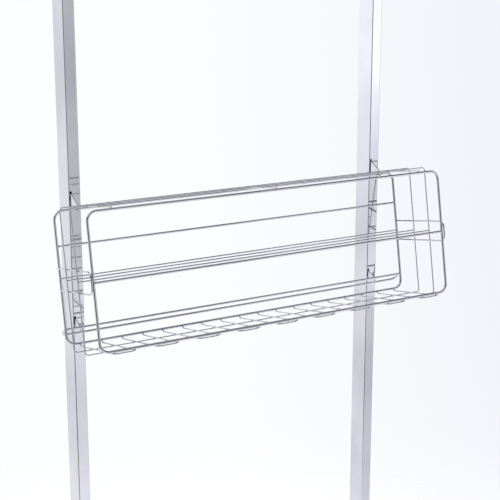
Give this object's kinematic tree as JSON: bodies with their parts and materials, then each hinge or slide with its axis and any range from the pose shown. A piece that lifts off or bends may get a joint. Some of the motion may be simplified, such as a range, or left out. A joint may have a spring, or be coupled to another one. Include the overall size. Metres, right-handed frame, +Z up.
{
  "type": "over the toilet storage rack",
  "caption": "Free-standing chrome rack: rectangular posts on T-shaped levelling feet carry a tilted wire basket with an open front, a wire shelf and guard wires.",
  "frame": {"origin": "on the floor, at the middle of the footprint", "axes": "+Z up, +X to the right seen from the front, the basket faces -Y"},
  "size_m": [0.614, 0.3066, 1.7493],
  "materials": {
    "chrome": "bright chrome plate on steel wire and tube",
    "zinc_steel": "zinc-plated steel fasteners and inserts",
    "grey_plastic": "moulded grey plastic caps and plugs",
    "rubber": "black rubber pads"
  },
  "bodies": {
    "stand": {"left_post": "chrome", "left_post_cap": "grey_plastic", "left_post_spigot": "zinc_steel", "left_foot_tube": "chrome", "left_foot_bolt": "zinc_steel", "left_front_foot_plug": "grey_plastic", "left_rear_foot_plug": "grey_plastic", "right_post": "chrome", "right_post_cap": "grey_plastic", "right_post_spigot": "zinc_steel", "right_foot_tube": "chrome", "right_foot_bolt": "zinc_steel", "right_front_foot_plug": "grey_plastic", "right_rear_foot_plug": "grey_plastic", "lower_cross_bar": "chrome", "lower_cross_bar_left_screw": "zinc_steel", "lower_cross_bar_right_screw": "zinc_steel", "upper_cross_bar": "chrome", "upper_cross_bar_left_screw": "zinc_steel", "upper_cross_bar_right_screw": "zinc_steel"},
    "basket": {"rear_frame": "chrome", "front_frame": "chrome", "rear_hoop": "chrome", "front_hoop": "chrome", "floor_wire_1": "chrome", "floor_wire_2": "chrome", "floor_wire_3": "chrome", "floor_wire_4": "chrome", "floor_wire_5": "chrome", "floor_wire_6": "chrome", "floor_wire_7": "chrome", "floor_wire_8": "chrome", "floor_wire_9": "chrome", "top_wire_1": "chrome", "top_wire_2": "chrome", "top_wire_3": "chrome", "shelf_wire_rear": "chrome", "shelf_wire_middle_rear": "chrome", "shelf_wire_middle_front": "chrome", "shelf_wire_front": "chrome", "upper_guard_wire": "chrome", "lower_guard_wire": "chrome", "left_end_loop": "chrome", "right_end_loop": "chrome", "stand_off_bar": "chrome", "left_upper_hook_plate": "chrome", "left_lower_hook_plate": "chrome", "right_upper_hook_plate": "chrome", "right_lower_hook_plate": "chrome"},
    "left_front_pad": {"left_front_levelling_pad": "rubber"},
    "left_front_stud": {"left_front_levelling_stud": "zinc_steel"},
    "left_rear_pad": {"left_rear_levelling_pad": "rubber"},
    "left_rear_stud": {"left_rear_levelling_stud": "zinc_steel"},
    "right_front_pad": {"right_front_levelling_pad": "rubber"},
    "right_front_stud": {"right_front_levelling_stud": "zinc_steel"},
    "right_rear_pad": {"right_rear_levelling_pad": "rubber"},
    "right_rear_stud": {"right_rear_levelling_stud": "zinc_steel"}
  },
  "joints": [
    {"name": "basket_lift", "type": "slide", "parent": "stand", "child": "basket", "axis": [0, 0, 1], "range_m": [0, 0.007]},
    {"name": "left_front_foot_travel", "type": "slide", "parent": "stand", "child": "left_front_pad", "axis": [0, 0, -1], "range_m": [0, 0.01]},
    {"name": "left_front_stud_turn", "type": "hinge", "parent": "left_front_pad", "child": "left_front_stud", "pos_m": [-0.265, -0.13, 0.02], "axis": [0, 0, 1], "range_deg": [0, 2881]},
    {"name": "left_rear_foot_travel", "type": "slide", "parent": "stand", "child": "left_rear_pad", "axis": [0, 0, -1], "range_m": [0, 0.01]},
    {"name": "left_rear_stud_turn", "type": "hinge", "parent": "left_rear_pad", "child": "left_rear_stud", "pos_m": [-0.265, 0.13, 0.02], "axis": [0, 0, 1], "range_deg": [0, 2881]},
    {"name": "right_front_foot_travel", "type": "slide", "parent": "stand", "child": "right_front_pad", "axis": [0, 0, -1], "range_m": [0, 0.01]},
    {"name": "right_front_stud_turn", "type": "hinge", "parent": "right_front_pad", "child": "right_front_stud", "pos_m": [0.265, -0.13, 0.02], "axis": [0, 0, 1], "range_deg": [0, 2881]},
    {"name": "right_rear_foot_travel", "type": "slide", "parent": "stand", "child": "right_rear_pad", "axis": [0, 0, -1], "range_m": [0, 0.01]},
    {"name": "right_rear_stud_turn", "type": "hinge", "parent": "right_rear_pad", "child": "right_rear_stud", "pos_m": [0.265, 0.13, 0.02], "axis": [0, 0, 1], "range_deg": [0, 2881]}
  ],
  "couplings": [
    {"joint": "left_front_stud_turn", "follows": "left_front_foot_travel", "rad_per_m": 5026.5},
    {"joint": "left_rear_stud_turn", "follows": "left_rear_foot_travel", "rad_per_m": 5026.5},
    {"joint": "right_front_stud_turn", "follows": "right_front_foot_travel", "rad_per_m": 5026.5},
    {"joint": "right_rear_stud_turn", "follows": "right_rear_foot_travel", "rad_per_m": 5026.5}
  ]
}
